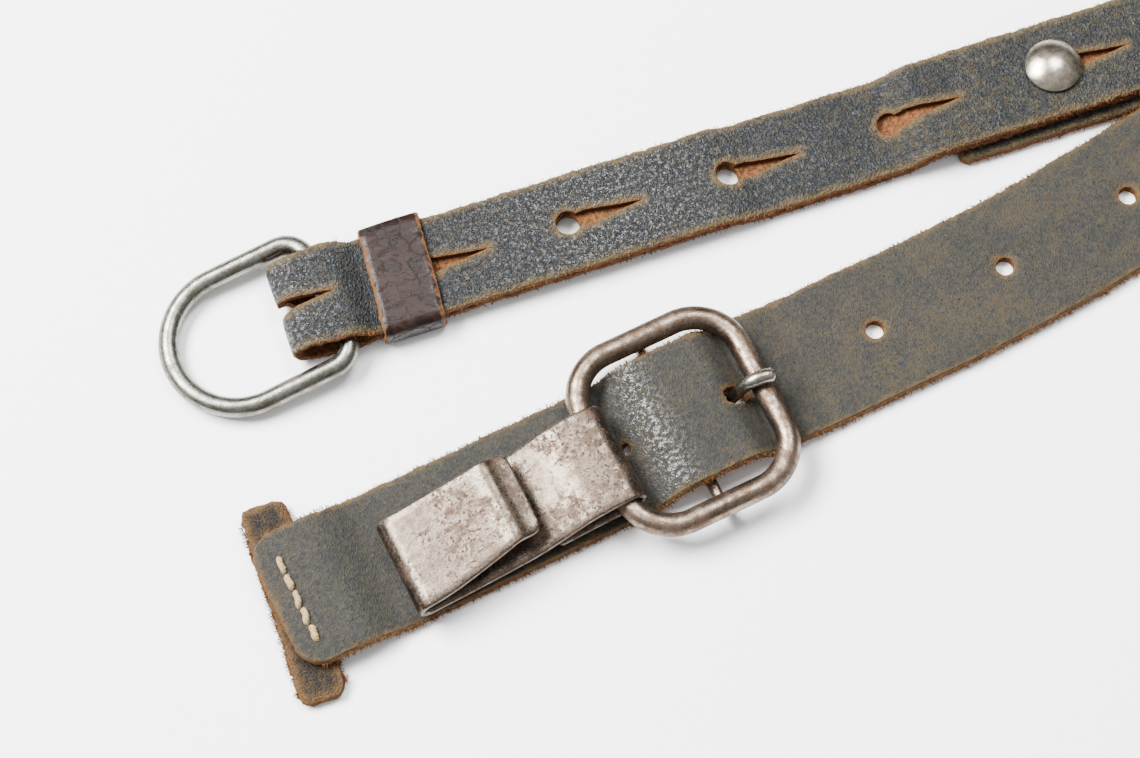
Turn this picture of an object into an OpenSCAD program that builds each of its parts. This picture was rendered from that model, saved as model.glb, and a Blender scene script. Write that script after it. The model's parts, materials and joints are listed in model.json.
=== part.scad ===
// Leather field harness: two front straps and one rear strap on a steel ring, laid flat on a table.
// Millimetres. +X runs along the harness to the rear, +Y to its right side, +Z up. The origin is the
// centre of the back ring, on the table. A front strap has its own frame: x along it from the tail, y across.

/* [Front strap] */
// Width of the front straps
strap_w = 30.5; // [26:0.5:38]
// Thickness of the front strap leather
strap_t = 2.8; // [2.2:0.1:3.4]
// Straight length from the tail end to the first bend
straight_len = 151.8; // [147:0.1:200]
// Distance of each tail from the centre line
half_spread = 130; // [120:1:160]
// Diameter of the adjustment holes
hole_d = 4; // [3:0.1:5]
// Distance between adjustment holes
hole_pitch = 31.5; // [26:0.5:38]
// Number of adjustment holes past the buckle
hole_count = 5; // [2:1:6]

/* [End stop] */
// Length of the leather stop across the strap's end
stop_len = 44; // [40:1:60]
// Width of the leather stop
stop_w = 9; // [7:0.5:12]
// Thickness of the leather stop
stop_t = 3; // [2:0.1:4]
// Number of stitches that hold the stop
stitch_count = 5; // [3:1:7]

/* [Buckle] */
// Distance from the tail end to the middle of the buckle
buckle_x = 92.4; // [92:0.1:100]
// Diameter of the frame wire
frame_d = 5; // [3.8:0.1:6]
// Distance between the frame's left and right bars
frame_len = 36.6; // [36:0.2:46]
// Radius of the frame's corners, to the wire's centre
frame_r = 10.4; // [7:0.2:12]
// Gap on each side between the strap and the frame's rails
rail_gap = 2.45; // [1.9:0.05:4]
// Diameter of the centre bar
bar_d = 2.4; // [2:0.1:3]
// Diameter of the prong
prong_d = 3.2; // [2.6:0.1:3.8]

/* [Front hook] */
// Width of the hook's steel strip
hook_w = 22; // [18:0.5:24]
// Thickness of the hook's steel strip
hook_t = 1.5; // [1.2:0.1:2]
// Length of the hook from the buckle bar to its nose
hook_len = 48.5; // [46:0.5:58]
// Free height inside the hook
hook_gap = 5.6; // [4.6:0.1:7]

/* [Auxiliary strap] */
// Width of the auxiliary straps
aux_w = 22; // [18:0.5:26]
// Thickness of the auxiliary strap leather
aux_t = 1.8; // [1.5:0.1:2.2]
// Distance from the stud to the ring's crossbar
aux_len = 163.6; // [156:0.2:200]
// Distance between the keyhole slots
slot_pitch = 36.2; // [32:0.2:38]
// Length of a keyhole slot from its round hole to its tip
slot_len = 16.7; // [12:0.1:20]
// Diameter of a slot's round hole
slot_hole_d = 5; // [4.4:0.1:6]
// Distance from the tail end to the stud
stud_x = 200.4; // [200:0.2:230]
// Distance from the front strap's middle to the stud
stud_y = 35; // [34:0.2:44]
// Diameter of the stud's head
stud_d = 12.2; // [10:0.1:15]
// Diameter of the stud's neck
neck_d = 4; // [3:0.1:4.2]

/* [Auxiliary ring] */
// Diameter of the ring's wire
ring_wire_d = 4.3; // [3.6:0.1:4.6]
// Gap on each side between the strap and the ring's legs
ring_gap = 1.85; // [1.5:0.05:4]
// Length of the ring, to the wire's centre
ring_len = 35.4; // [32:0.2:44]
// Radius of the ring's corners at its crossbar
ring_corner_r = 5; // [4.4:0.2:6.4]

/* [Keepers] */
// Length of a keeper along its strap
keeper_len = 13.4; // [10:0.2:16]
// Thickness of a keeper's leather
keeper_t = 1.4; // [1.1:0.1:2]
// Distance that a keeper slides
keeper_travel = 60; // [30:1:70]

/* [Back] */
// Radius of the back ring, to the wire's centre
back_r = 28; // [27:0.5:36]
// Diameter of the back ring's wire
back_wire_d = 5; // [4:0.1:5.4]
// Width of the front straps where they loop round the back ring
loop_w = 20; // [16:0.5:21]
// Distance from the back ring's middle to the rear stud
rear_stud_x = 92; // [88:1:110]
// Distance from the rear stud to the rear hook's crossbar
rear_len = 201.2; // [180:0.2:240]

/* [Shoulder ring] */
// Distance from the tail end to the shoulder ring's bar, along the strap
d_ring_s = 387; // [382:1:397]
// Diameter of the shoulder ring's wire
d_wire_d = 3.5; // [3:0.1:4]
// Width of the shoulder ring, to the wire's centre
d_ring_w = 25; // [23:0.5:30]
// Height of the shoulder ring, to the wire's centre
d_ring_h = 19; // [15:0.5:24]

/* [Hidden] */
$fn = 48;

leather = "#3b3f3c";
brown = "#4a2f22";
steel = "#9a958c";
thread = "#cbb98f";

// Clearance between parts that move, and between a strap and its own folded layer
gap = 0.3;
layer_gap = 0.2;
eps = 0.01;

// The front strap's route: straight, a slow bend, straight, a second bend, straight to the ring
bend1_r = 400;
bend1 = 7;
bend2_r = 500;
ring_angle = 30;
loop_reach = 46;
end_len = back_r + loop_reach;
bend1_dx = bend1_r * sin(bend1);
bend1_dy = bend1_r * (1 - cos(bend1));
bend2_dx = bend2_r * (sin(ring_angle) - sin(bend1));
bend2_dy = bend2_r * (cos(bend1) - cos(ring_angle));
mid_len = (half_spread - bend1_dy - bend2_dy - end_len * sin(ring_angle)) / sin(bend1);
s_bend1 = straight_len + bend1_r * bend1 * PI / 180;
s_mid = s_bend1 + mid_len;
s_bend2 = s_mid + bend2_r * (ring_angle - bend1) * PI / 180;
tail_x = -(straight_len + bend1_dx + mid_len * cos(bend1) + bend2_dx + end_len * cos(ring_angle));
taper_len = 110;
seam = 2;
seam_w = 0.4;

// Buckle: heights and places across and along the strap
left_bar_x = buckle_x - frame_len / 2;
right_bar_x = buckle_x + frame_len / 2;
frame_y = -1.5;
frame_half = strap_w / 2 + rail_gap + frame_d / 2;
frame_z = strap_t + gap + hook_t + gap + frame_d / 2;
prong_eye_t = 0.8;
prong_eye_r = bar_d / 2 + 0.15 + prong_eye_t;
prong_eye_w = 5;
bar_z = prong_eye_r + gap;
arch_z = bar_z + prong_eye_r + gap + 0.2;
dip_z = min(1.2, frame_z - frame_d / 2 - gap - strap_t);
prong_top_z = frame_z + frame_d / 2 + prong_d / 2 + 0.15;
prong_slot_x = right_bar_x - 8.8;
prong_slot_end = right_bar_x - 4.2;
prong_slot_w = prong_d + 1.2;
prong_y = 0.9;
prong_turn = -8;
arch_take_up = 4.3;

// Front hook
eye_r = frame_d / 2 + gap;
hook_low_z = -(eye_r + hook_t / 2);
nose_r = 2.6;
crease_x = -(hook_len - 24.5);
tip_x = crease_x + 5.5;
hook_dip_z = hook_low_z + 0.8;
crease_z = hook_dip_z + hook_gap + hook_t;
hook_skew = 2.2;
hook_y = frame_y - 0.9;

// Auxiliary strap: its own frame has x along it with 0 at the stud, and the ring at negative x
aux_angle = 7.55;
aux_lift = keeper_t + gap;
ring_wire_r = ring_wire_d / 2;
fold_half = aux_w / 2;
ring_w = aux_w + 2 * ring_gap + ring_wire_d;
ring_shift = 0.6;
corner_inner_r = ring_corner_r - ring_wire_r;
fold_past = max(0, corner_inner_r - ring_gap + ring_shift);
corner_reach = ring_corner_r - sqrt(corner_inner_r ^ 2 - fold_past ^ 2);
fold_ri = ceil((corner_reach + 0.3) * 20) / 20;
fold_slack = 4.6;
fold_shift = fold_half * tan(aux_angle) + fold_slack;
fold_z = aux_t + fold_ri;
aux_raise = strap_t + gap;
aux_top_gap = aux_t + layer_gap;
layers_t = 2 * aux_t + layer_gap;
anchor_front = 25.3;
raise_start = 38;
raise_end = 29.5;
keeper_to_bar = 16.3;
keeper_side = 0.4;
slot_tip_w = 0.4;
anchor_shift = -2.2;
anchor_step = 35;
anchor_end = 134;
anchor_z = strap_t + 0.05;

// Other hardware
rivet_d = 3;
rivet_head_d = 7;
rivet_head_h = 1.1;
chape_w = 18;
chape_tail = 24;
d_ring_z = strap_t + aux_t + d_wire_d / 2 + gap;
loop_tail = 26;
rear_loop_len = 14;
rear_loop_r = 5;
rear_loop_z = eye_r + hook_t + 0.2;

function smooth(f) = f * f * (3 - 2 * f);

// Points of a smooth ramp from [x0, z0] to [x1, z1]
function ramp(x0, z0, x1, z1, n = 8) =
    [for (i = [0:n]) [x0 + (x1 - x0) * i / n, z0 + (z1 - z0) * smooth(i / n)]];

// Outline of a strip of height t that stands on the points p
function strip(p, t) =
    concat(p, [for (i = [len(p) - 1:-1:0]) [p[i][0], p[i][1] + t]]);

// Unit normal of the polyline p at point i
function along(p, i) = p[min(i + 1, len(p) - 1)] - p[max(i - 1, 0)];
function normal(p, i) = [-along(p, i)[1], along(p, i)[0]] / norm(along(p, i));

// Outline of a bent strip of thickness t whose middle follows the points p
function bent_strip(p, t) =
    concat(
        [for (i = [0:len(p) - 1]) p[i] + normal(p, i) * t / 2],
        [for (i = [len(p) - 1:-1:0]) p[i] - normal(p, i) * t / 2]
    );

function arc(c, r, a0, a1, n) =
    [for (i = [0:n]) c + r * [cos(a0 + (a1 - a0) * i / n), sin(a0 + (a1 - a0) * i / n)]];

// Place on the front strap's middle line at distance s from the tail end: [x, y, heading]
function route(s) =
    s <= straight_len ? [s, 0, 0]
    : s <= s_bend1 ? let (a = (s - straight_len) / bend1_r * 180 / PI)
        [straight_len + bend1_r * sin(a), bend1_r * (1 - cos(a)), a]
    : s <= s_mid ? [
        straight_len + bend1_dx + (s - s_bend1) * cos(bend1),
        bend1_dy + (s - s_bend1) * sin(bend1),
        bend1
    ]
    : s <= s_bend2 ? let (a = bend1 + (s - s_mid) / bend2_r * 180 / PI) [
        straight_len + bend1_dx + mid_len * cos(bend1) + bend2_r * (sin(a) - sin(bend1)),
        bend1_dy + mid_len * sin(bend1) + bend2_r * (cos(bend1) - cos(a)),
        a
    ]
    : [
        straight_len + bend1_dx + mid_len * cos(bend1) + bend2_dx + (s - s_bend2) * cos(ring_angle),
        bend1_dy + mid_len * sin(bend1) + bend2_dy + (s - s_bend2) * sin(ring_angle),
        ring_angle
    ];

function taper(s) = smooth(max(0, min(1, (s - (s_bend2 - taper_len)) / taper_len)));
function width(s) = strap_w + (loop_w + seam_w - strap_w) * taper(s);
function side_point(s, u) =
    let (r = route(s)) [r[0] - u * sin(r[2]), r[1] + u * cos(r[2])];

bend1_steps = [for (i = [0:6]) straight_len + (s_bend1 - straight_len) * i / 6];
bend2_steps = [for (i = [0:16]) s_mid + (s_bend2 - s_mid) * i / 16];
route_steps = concat([straight_len - seam], bend1_steps, bend2_steps, [s_bend2 + seam]);

// Extrudes a drawing of length and height across the strap, over the width w
module across(w) {
    rotate([90, 0, 0]) translate([0, 0, -w / 2]) linear_extrude(w) children();
}

module rod(a, b, r) {
    d = b - a;
    translate(a)
        rotate([0, acos(d[2] / norm(d)), atan2(d[1], d[0])])
            cylinder(r = r, h = norm(d));
}

// The curved stretch of the front strap, seen from above
module curved_plan() {
    polygon(concat(
        [for (s = route_steps) side_point(s, width(s) / 2)],
        [for (i = [len(route_steps) - 1:-1:0]) side_point(route_steps[i], -width(route_steps[i]) / 2)]
    ));
}

// A strap's end looped round a ring wire at x = 0, with the strap going to +x. The ring's middle is at -x.
// dev is how far the ring curves away at the strap's edges.
module ring_loop(w, t, wire_r, dev, tail, reach) {
    ri = wire_r + gap;
    zc = t + ri;
    down = reach > 0 ? ramp(tail - 1, t, tail + 12, 0) : [];
    across(w) {
        difference() {
            translate([-dev, zc]) circle(r = ri + t);
            translate([-dev, zc]) circle(r = ri);
            translate([-dev, 0]) square([ri + t + 1, 2 * (zc + t)]);
        }
        translate([-dev, 0]) square([tail + dev, t]);
        polygon(strip(concat([[-dev, zc + ri]], ramp(wire_r, zc + ri, 14, t), down,
            reach > 0 ? [[reach, 0]] : [[tail, t]]), t));
    }
}

// A round-headed rivet that stands on z0 and goes through layers up to z1
module rivet(z0, z1) {
    translate([0, 0, z0 + 0.1]) cylinder(d = rivet_d, h = z1 - z0);
    translate([0, 0, z1]) cylinder(d1 = rivet_head_d, d2 = rivet_head_d - 2.4, h = rivet_head_h);
}

module rivet_hole() {
    translate([0, 0, -1]) cylinder(d = rivet_d, h = 40);
}

loop_rivet_at = [[20, -5], [20, 5]];
anchor_rivet_at = [[72, anchor_shift], [112, anchor_shift]];
chape_rivet_at = [[19, -4.5], [19, 4.5]];

module at_ring_end() {
    translate([-tail_x, half_spread, 0]) rotate(180 + ring_angle) translate([back_r, 0, 0]) children();
}

module at_stud() {
    translate([stud_x, stud_y, 0]) rotate(-aux_angle) children();
}

module at_shoulder() {
    r = route(d_ring_s);
    translate([r[0], r[1], 0]) rotate(r[2]) children();
}

function arch_points() = concat(
    [[0, stop_t]],
    ramp(stop_w + 4, stop_t, stop_w + 15, 0),
    ramp(left_bar_x + eye_r + 1.5, 0, buckle_x - 3.5, arch_z, 10),
    ramp(buckle_x + 9, arch_z, right_bar_x - 2.2, dip_z, 10),
    ramp(right_bar_x + 3, dip_z, right_bar_x + 11, 0),
    [[straight_len, 0]]
);

module strap_hole(s) {
    r = route(s);
    translate([r[0], r[1], -1]) cylinder(d = hole_d, h = 20);
}

module at_prong() {
    translate([buckle_x, prong_y, 0]) rotate(prong_turn) children();
}

module front_strap() {
    color(leather) difference() {
        union() {
            intersection() {
                across(strap_w) polygon(strip(arch_points(), strap_t));
                linear_extrude(20) union() {
                    translate([5, -strap_w / 2]) square([straight_len, strap_w]);
                    translate([0, 5 - strap_w / 2]) square([10, strap_w - 10]);
                    for (y = [-1, 1]) translate([5, y * (strap_w / 2 - 5)]) circle(r = 5);
                }
            }
            linear_extrude(strap_t) curved_plan();
            at_ring_end() ring_loop(loop_w, strap_t, back_wire_d / 2,
                back_r - sqrt(back_r ^ 2 - (loop_w / 2) ^ 2) + 0.25, loop_tail, loop_reach);
        }
        strap_hole(buckle_x + 15 - hole_pitch + arch_take_up);
        for (i = [1:hole_count]) strap_hole(right_bar_x - 3.5 + i * hole_pitch);
        at_prong() translate([prong_slot_x - buckle_x, -prong_slot_w / 2, -1])
            cube([prong_slot_end - prong_slot_x, prong_slot_w, 20]);
        at_ring_end() for (p = loop_rivet_at) translate(p) rivet_hole();
        at_stud() for (p = anchor_rivet_at) translate(p) rivet_hole();
        at_shoulder() for (p = chape_rivet_at) translate(p) rivet_hole();
    }
}

module end_stop() {
    color(leather) translate([4, 0.5, 0]) rotate(-7) linear_extrude(stop_t - eps) union() {
        translate([-stop_w / 2 + 2, -stop_len / 2]) square([stop_w - 4, stop_len]);
        translate([-stop_w / 2, -stop_len / 2 + 2]) square([stop_w, stop_len - 4]);
        for (x = [-1, 1], y = [-1, 1])
            translate([x * (stop_w / 2 - 2), y * (stop_len / 2 - 2)]) circle(r = 2);
    }
}

module stop_stitches() {
    stitch_r = 0.65;
    stitch_len = 3.2;
    step = 4;
    color(thread) for (i = [0:stitch_count - 1])
        translate([4.9, (i - (stitch_count - 1) / 2) * step - 0.6, stop_t + strap_t + stitch_r])
            rotate([90, 0, -6]) translate([0, 0, -stitch_len / 2]) cylinder(r = stitch_r, h = stitch_len);
}

module torus_arc(r, wire_r, angle) {
    rotate_extrude(angle = angle) translate([r, 0]) circle(r = wire_r);
}

module buckle_frame() {
    wire_r = frame_d / 2;
    hx = frame_len / 2 - frame_r;
    hy = frame_half - frame_r;
    color(steel) translate([buckle_x, frame_y, 0]) {
        translate([0, 0, frame_z]) {
            for (x = [-1, 1]) rod([x * frame_len / 2, -hy, 0], [x * frame_len / 2, hy, 0], wire_r);
            for (y = [-1, 1]) rod([-hx, y * frame_half, 0], [hx, y * frame_half, 0], wire_r);
            for (c = [[1, 1, 0], [-1, 1, 90], [-1, -1, 180], [1, -1, 270]])
                translate([c[0] * hx, c[1] * hy, 0]) rotate(c[2]) torus_arc(frame_r, wire_r, 90);
        }
        rod([0, -frame_half, bar_z], [0, frame_half, bar_z], bar_d / 2);
        for (y = [-1, 1]) rod([0, y * frame_half, bar_z], [0, y * frame_half, frame_z], bar_d / 2);
        for (y = [-1, 1]) translate([0, y * frame_half, bar_z]) rotate([45, 0, 0]) sphere(d = bar_d * 1.04);
    }
}

// Middle line of the prong from its eye to its tip, with the eye's middle at x = 0
function prong_points() = [
    [bar_d / 2 + 0.6, bar_z + 0.2],
    [frame_len / 2 - 7.6, bar_z + 0.35],
    [frame_len / 2 - 2.9, prong_top_z - 0.35],
    [frame_len / 2 - 0.6, prong_top_z],
    [frame_len / 2 + 1.6, prong_top_z - 0.1]
];

module buckle_prong() {
    color(steel) translate([buckle_x, prong_y, 0]) difference() {
        union() {
            rod([0, -prong_eye_w / 2, bar_z], [0, prong_eye_w / 2, bar_z], prong_eye_r);
            rotate(prong_turn) across(prong_d) polygon(bent_strip(prong_points(), prong_d - 0.4));
        }
        rod([0, -5, bar_z], [0, 5, bar_z], bar_d / 2 + 0.15);
    }
}

// Middle line of the front hook's strip from the bar's top to the tip, with the bar at the origin
function hook_points() = concat(
    [[1.6, eye_r + hook_t / 2 - 0.3], [-3, eye_r + hook_t / 2 - 0.15]],
    ramp(-5, eye_r + hook_t / 2 - 0.4, crease_x, hook_dip_z, 8),
    [[crease_x - 8, hook_low_z + 0.25]],
    arc([-(hook_len - nose_r - hook_t / 2), hook_low_z + nose_r], nose_r, -90, -270, 10),
    [[crease_x - 9, crease_z - 1.1], [crease_x, crease_z], [tip_x, crease_z - 0.9]]
);

// A steel strip hook that turns on a bar at the origin
module strip_hook() {
    color(steel) intersection() {
        difference() {
            union() {
                across(hook_w + 6) difference() {
                    circle(r = eye_r + hook_t);
                    translate([-20, -20]) square([20, 40]);
                }
                across(hook_w + 6) translate([-16, -(eye_r + hook_t)]) square([17, hook_t]);
                across(hook_w + 6) polygon(bent_strip(hook_points(), hook_t));
            }
            rod([0, -hook_w, 0], [0, hook_w, 0], eye_r);
        }
        translate([0, 0, -20]) linear_extrude(40) polygon([
            [10, -hook_w / 2], [10, hook_w / 2], [-3, hook_w / 2],
            [-hook_len, hook_w / 2 - hook_skew - 0.5], [-hook_len - 1, hook_w / 2 - hook_skew - 0.5],
            [-hook_len - 1, -hook_w / 2 - hook_skew + 0.5], [-hook_len, -hook_w / 2 - hook_skew + 0.5],
            [-3, -hook_w / 2]
        ]);
    }
}

module front_hook() {
    translate([left_bar_x, hook_y, frame_z]) strip_hook();
}

// A keyhole slot: a round hole at the origin and a slit to a tip at +x
module keyhole() {
    circle(d = slot_hole_d);
    polygon([[0, -slot_hole_d * 0.42], [slot_len, -slot_tip_w / 2], [slot_len, slot_tip_w / 2],
        [0, slot_hole_d * 0.42]]);
}

// The slotted strap, folded round a wire at x = -length and buttoned on a stud at x = 0
module slotted_strap(length, shift, top_end, bottom_end, top_slots, bottom_slots, fold_slot) {
    flat = -(length - keeper_to_bar - keeper_len / 2 - keeper_travel - 3);
    bottom = concat(
        [[-length - shift, 0]],
        ramp(-length + 3, 0, -length + 8.6, aux_lift),
        ramp(flat, aux_lift, flat + 10, 0),
        ramp(-raise_start, 0, -raise_end, aux_raise),
        [[bottom_end, aux_raise]]
    );
    top = concat(
        [[-length - shift, fold_z + fold_ri]],
        ramp(-length + 1.7, fold_z + fold_ri, -length + 9.4, aux_lift + aux_top_gap),
        ramp(flat, aux_lift + aux_top_gap, flat + 10, aux_top_gap),
        ramp(-raise_start, aux_top_gap, -raise_end, aux_raise + aux_top_gap),
        [[top_end, aux_raise + aux_top_gap]]
    );
    split_z = aux_raise + aux_t + layer_gap / 2;
    color(leather) difference() {
        union() {
            difference() {
                across(aux_w) polygon(strip(bottom, aux_t));
                translate([0, 0, -1]) linear_extrude(1 + split_z)
                    for (i = bottom_slots) translate([-i * slot_pitch, 0]) mirror([1, 0]) keyhole();
            }
            difference() {
                across(aux_w) {
                    polygon(strip(top, aux_t));
                    translate([-length - shift, fold_z]) difference() {
                        circle(r = fold_ri + aux_t);
                        circle(r = fold_ri);
                        translate([0, -20]) square([20, 40]);
                    }
                }
                linear_extrude(20) for (i = top_slots) translate([-i * slot_pitch, 0]) keyhole();
            }
        }
        if (fold_slot) fold_cut(length);
    }
}

module fold_cut(length) {
    translate([-length, 0, fold_z]) linear_extrude(20)
        polygon([[-16, -3], [1.2, -0.2], [1.2, 0.2], [-16, 3]]);
}

module aux_strap() {
    at_stud() slotted_strap(aux_len, fold_shift, 34, 24, [0, 1, 2, 3, 4], [0, 2, 3], true);
}

function ring_bar() = [
    stud_x - aux_len * cos(aux_angle),
    stud_y + aux_len * sin(aux_angle),
    fold_z
];

// A wire ring with its crossbar on the Y axis, lying towards -x
module wire_ring(w, length, wire_r, corner_r, end_r) {
    hw = w / 2;
    rod([0, -(hw - corner_r), 0], [0, hw - corner_r, 0], wire_r);
    for (y = [-1, 1]) rod([-corner_r, y * hw, 0], [-(length - end_r), y * hw, 0], wire_r);
    translate([-corner_r, hw - corner_r, 0]) torus_arc(corner_r, wire_r, 90);
    translate([-corner_r, -(hw - corner_r), 0]) rotate(-90) torus_arc(corner_r, wire_r, 90);
    translate([-(length - end_r), hw - end_r, 0]) rotate(90) torus_arc(end_r, wire_r, 90);
    translate([-(length - end_r), -(hw - end_r), 0]) rotate(180) torus_arc(end_r, wire_r, 90);
    if (end_r < hw) rod([-length, -(hw - end_r), 0], [-length, hw - end_r, 0], wire_r);
}

module aux_ring() {
    tilt = asin((fold_z - ring_wire_r - 0.05) / ring_len);
    color(steel) translate(ring_bar() + [0, ring_shift, 0]) rotate([0, -tilt, 0])
        wire_ring(ring_w, ring_len, ring_wire_r, ring_corner_r, ring_w / 2);
}

module keeper(x) {
    inner_w = aux_w + 2 * keeper_side;
    inner_h = layers_t + 0.5;
    color(brown) translate([x - keeper_len / 2, 0, 0.05]) difference() {
        translate([0, -inner_w / 2 - keeper_t, 0])
            cube([keeper_len, inner_w + 2 * keeper_t, inner_h + 2 * keeper_t]);
        translate([-1, -inner_w / 2, keeper_t]) cube([keeper_len + 2, inner_w, inner_h]);
    }
}

module aux_keeper() {
    at_stud() keeper(keeper_to_bar - aux_len);
}

module stud() {
    head_z = aux_raise + layers_t + gap;
    dome_r = 9.2;
    color(steel) {
        translate([0, 0, 0.2]) cylinder(d = neck_d, h = head_z);
        translate([0, 0, head_z]) cylinder(d = stud_d, h = 0.6);
        translate([0, 0, head_z + 0.6]) intersection() {
            translate([0, 0, -sqrt(dome_r ^ 2 - (stud_d / 2) ^ 2)]) sphere(r = dome_r, $fn = 64);
            cylinder(d = stud_d, h = 10);
        }
    }
}

module aux_stud() {
    at_stud() stud();
}

module aux_anchor() {
    color(leather) difference() {
        at_stud() translate([0, anchor_shift, 0]) across(aux_w)
            polygon(strip(concat([[-anchor_front, 0]], ramp(anchor_step, 0, anchor_step + 9, anchor_z),
                [[anchor_end, anchor_z]]), strap_t));
        translate([0, 0, -1]) linear_extrude(1 + strap_t + 0.02) curved_plan();
        at_stud() translate([0, 0, -1]) cylinder(d = neck_d, h = 20);
        at_stud() for (p = anchor_rivet_at) translate(p) rivet_hole();
    }
}

module anchor_rivets() {
    color(steel) at_stud() for (p = anchor_rivet_at) translate(p) rivet(0, anchor_z + strap_t);
}

module shoulder_ring() {
    tilt = asin((d_ring_z - strap_t - d_wire_d / 2 - gap) / d_ring_h);
    color(steel) at_shoulder() translate([0, 0, d_ring_z]) rotate([0, -tilt, 0])
        wire_ring(d_ring_w, d_ring_h, d_wire_d / 2, d_wire_d / 2 + 0.6, d_ring_w / 2);
}

module ring_chape() {
    color(leather) at_shoulder() difference() {
        translate([0, 0, strap_t]) ring_loop(chape_w, aux_t, d_wire_d / 2, 0, chape_tail, 0);
        for (p = chape_rivet_at) translate(p) rivet_hole();
    }
}

module chape_rivets() {
    color(steel) at_shoulder() for (p = chape_rivet_at) translate(p) rivet(0, strap_t + 2 * aux_t);
}

module loop_rivets() {
    color(steel) at_ring_end() for (p = loop_rivet_at) translate(p) rivet(0, 2 * strap_t);
}

module back_ring() {
    color(steel) translate([0, 0, strap_t + gap + back_wire_d / 2])
        torus_arc(back_r, back_wire_d / 2, 360);
}

module rear_anchor() {
    color(leather) difference() {
        translate([back_r, 0, 0]) ring_loop(aux_w, strap_t, back_wire_d / 2,
            back_r - sqrt(back_r ^ 2 - (aux_w / 2) ^ 2) + 0.25, loop_tail, rear_stud_x + anchor_front - back_r);
        translate([back_r, 0, 0]) for (p = loop_rivet_at) translate(p) rivet_hole();
        translate([rear_stud_x, 0, -1]) cylinder(d = neck_d, h = 20);
    }
}

module rear_rivets() {
    color(steel) translate([back_r, 0, 0]) for (p = loop_rivet_at) translate(p) rivet(0, 2 * strap_t);
}

module at_rear_stud() {
    translate([rear_stud_x, 0, 0]) rotate(180) children();
}

module rear_stud() {
    at_rear_stud() stud();
}

module rear_strap() {
    at_rear_stud() slotted_strap(rear_len, 0.5, 24, 20, [0, 1, 2, 3, 4], [0, 2, 3, 4], false);
}

module rear_keeper() {
    at_rear_stud() keeper(keeper_to_bar - rear_len);
}

module rear_loop() {
    tilt = asin((fold_z - rear_loop_z) / rear_loop_len);
    color(steel) at_rear_stud() translate([-rear_len, 0, fold_z]) rotate([0, -tilt, 0])
        wire_ring(ring_w, rear_loop_len, ring_wire_r, rear_loop_r, rear_loop_r);
}

module rear_hook() {
    tilt = asin((fold_z - rear_loop_z) / rear_loop_len);
    at_rear_stud() translate([-rear_len - rear_loop_len * cos(tilt), 0, rear_loop_z]) strip_hook();
}

module left() {
    translate([tail_x, -half_spread, 0]) children();
}

module right() {
    mirror([0, 1, 0]) left() children();
}

left() front_strap();  // left_front_strap
left() end_stop();  // left_end_stop
left() stop_stitches();  // left_stop_stitches
left() buckle_frame();  // left_buckle_frame
left() buckle_prong();  // left_buckle_prong
left() front_hook();  // left_front_hook
left() aux_strap();  // left_aux_strap
left() aux_ring();  // left_aux_ring
left() aux_keeper();  // left_aux_keeper
left() aux_stud();  // left_aux_stud
left() aux_anchor();  // left_aux_anchor
left() anchor_rivets();  // left_anchor_rivets
left() shoulder_ring();  // left_shoulder_ring
left() ring_chape();  // left_ring_chape
left() chape_rivets();  // left_chape_rivets
left() loop_rivets();  // left_loop_rivets
right() front_strap();  // right_front_strap
right() end_stop();  // right_end_stop
right() stop_stitches();  // right_stop_stitches
right() buckle_frame();  // right_buckle_frame
right() buckle_prong();  // right_buckle_prong
right() front_hook();  // right_front_hook
right() aux_strap();  // right_aux_strap
right() aux_ring();  // right_aux_ring
right() aux_keeper();  // right_aux_keeper
right() aux_stud();  // right_aux_stud
right() aux_anchor();  // right_aux_anchor
right() anchor_rivets();  // right_anchor_rivets
right() shoulder_ring();  // right_shoulder_ring
right() ring_chape();  // right_ring_chape
right() chape_rivets();  // right_chape_rivets
right() loop_rivets();  // right_loop_rivets
back_ring();
rear_anchor();
rear_rivets();
rear_stud();
rear_strap();
rear_keeper();
rear_loop();
rear_hook();
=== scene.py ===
import json
import math
import random

import bpy
import numpy as np
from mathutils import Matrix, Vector, noise


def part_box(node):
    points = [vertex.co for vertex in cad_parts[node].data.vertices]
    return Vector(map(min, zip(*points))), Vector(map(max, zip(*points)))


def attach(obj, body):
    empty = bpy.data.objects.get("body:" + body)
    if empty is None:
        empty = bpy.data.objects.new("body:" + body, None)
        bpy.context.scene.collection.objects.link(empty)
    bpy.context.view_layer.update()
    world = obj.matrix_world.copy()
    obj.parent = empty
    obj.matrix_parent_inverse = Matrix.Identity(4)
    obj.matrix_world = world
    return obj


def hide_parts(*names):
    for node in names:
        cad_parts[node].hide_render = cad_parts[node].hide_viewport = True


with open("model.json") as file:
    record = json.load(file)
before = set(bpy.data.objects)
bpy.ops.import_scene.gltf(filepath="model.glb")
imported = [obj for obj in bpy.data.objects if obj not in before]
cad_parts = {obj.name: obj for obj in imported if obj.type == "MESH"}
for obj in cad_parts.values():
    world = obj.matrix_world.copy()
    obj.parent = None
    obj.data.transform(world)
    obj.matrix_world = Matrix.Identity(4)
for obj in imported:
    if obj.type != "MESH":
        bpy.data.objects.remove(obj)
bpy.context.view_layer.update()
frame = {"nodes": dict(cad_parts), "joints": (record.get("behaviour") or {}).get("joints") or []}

# Lengths below are millimetres. Blender's are metres.
MM = 0.001
JOINTS = {j["name"]: j for j in frame["joints"]}


def joint_place(name):
    return np.array(JOINTS[name]["pos_m"]) / MM


def centre(node):
    lo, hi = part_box(node)
    return np.array((lo + hi) / 2) / MM


def smooth(f):
    f = np.clip(f, 0, 1)
    return f * f * (3 - 2 * f)


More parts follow.
